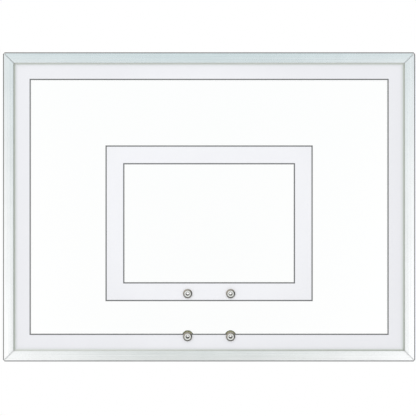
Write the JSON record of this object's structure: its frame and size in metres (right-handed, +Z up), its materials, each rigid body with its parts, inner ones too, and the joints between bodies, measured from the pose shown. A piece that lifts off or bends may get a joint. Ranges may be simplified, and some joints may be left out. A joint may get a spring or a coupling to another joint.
{
  "type": "basketball backboard",
  "caption": "Rectangular clear glass basketball backboard in a mitred aluminium frame, with white border and shooter's square and flanged bushings for bolting on a goal.",
  "frame": {"origin": "centre of the rear mounting bolt pattern, on the rear face of the corner plates, at the middle of the board's width and height", "axes": "+X to the right as seen from the court, +Y away from the court towards the support, +Z up"},
  "size_m": [1.2192, 0.0552, 0.9144],
  "materials": {
    "clear_glass": "clear tempered float glass, polished faces, faint green in its edge",
    "white_enamel": "white enamel fired on the glass, smooth with a fine screen-print texture",
    "dark_enamel": "thin dark grey enamel line",
    "anodised_aluminium": "clear anodised extrusion, satin with fine lines along its length",
    "gasket_vinyl": "grey-green vinyl, matt",
    "key_aluminium": "mill finish aluminium bar",
    "galvanised_steel": "galvanised steel plate with faint spangle",
    "zinc_steel": "bright zinc plated steel",
    "yellow_zinc_steel": "yellow passivated zinc plated steel",
    "block_rubber": "black setting block rubber",
    "sleeve_nylon": "natural nylon",
    "washer_fibre": "olive vulcanised fibre"
  },
  "bodies": {
    "root": {"glass_panel": "clear_glass", "border_stripe": "white_enamel", "target_stripe": "white_enamel", "border_keyline": "dark_enamel", "target_outer_keyline": "dark_enamel", "target_inner_keyline": "dark_enamel", "bottom_rail": "anodised_aluminium", "bottom_gasket": "gasket_vinyl", "left_rail": "anodised_aluminium", "left_gasket": "gasket_vinyl", "top_rail": "anodised_aluminium", "top_gasket": "gasket_vinyl", "right_rail": "anodised_aluminium", "right_gasket": "gasket_vinyl", "corner_key_upper_left": "key_aluminium", "corner_plate_upper_left": "galvanised_steel", "corner_key_upper_right": "key_aluminium", "corner_plate_upper_right": "galvanised_steel", "corner_key_lower_left": "key_aluminium", "corner_plate_lower_left": "galvanised_steel", "corner_key_lower_right": "key_aluminium", "corner_plate_lower_right": "galvanised_steel", "corner_screws": "zinc_steel", "setting_blocks": "block_rubber", "side_blocks": "block_rubber", "goal_bushings": "zinc_steel", "bushing_sleeves": "sleeve_nylon", "rear_washers": "washer_fibre", "bushing_nuts": "yellow_zinc_steel"}
  },
  "joints": []
}
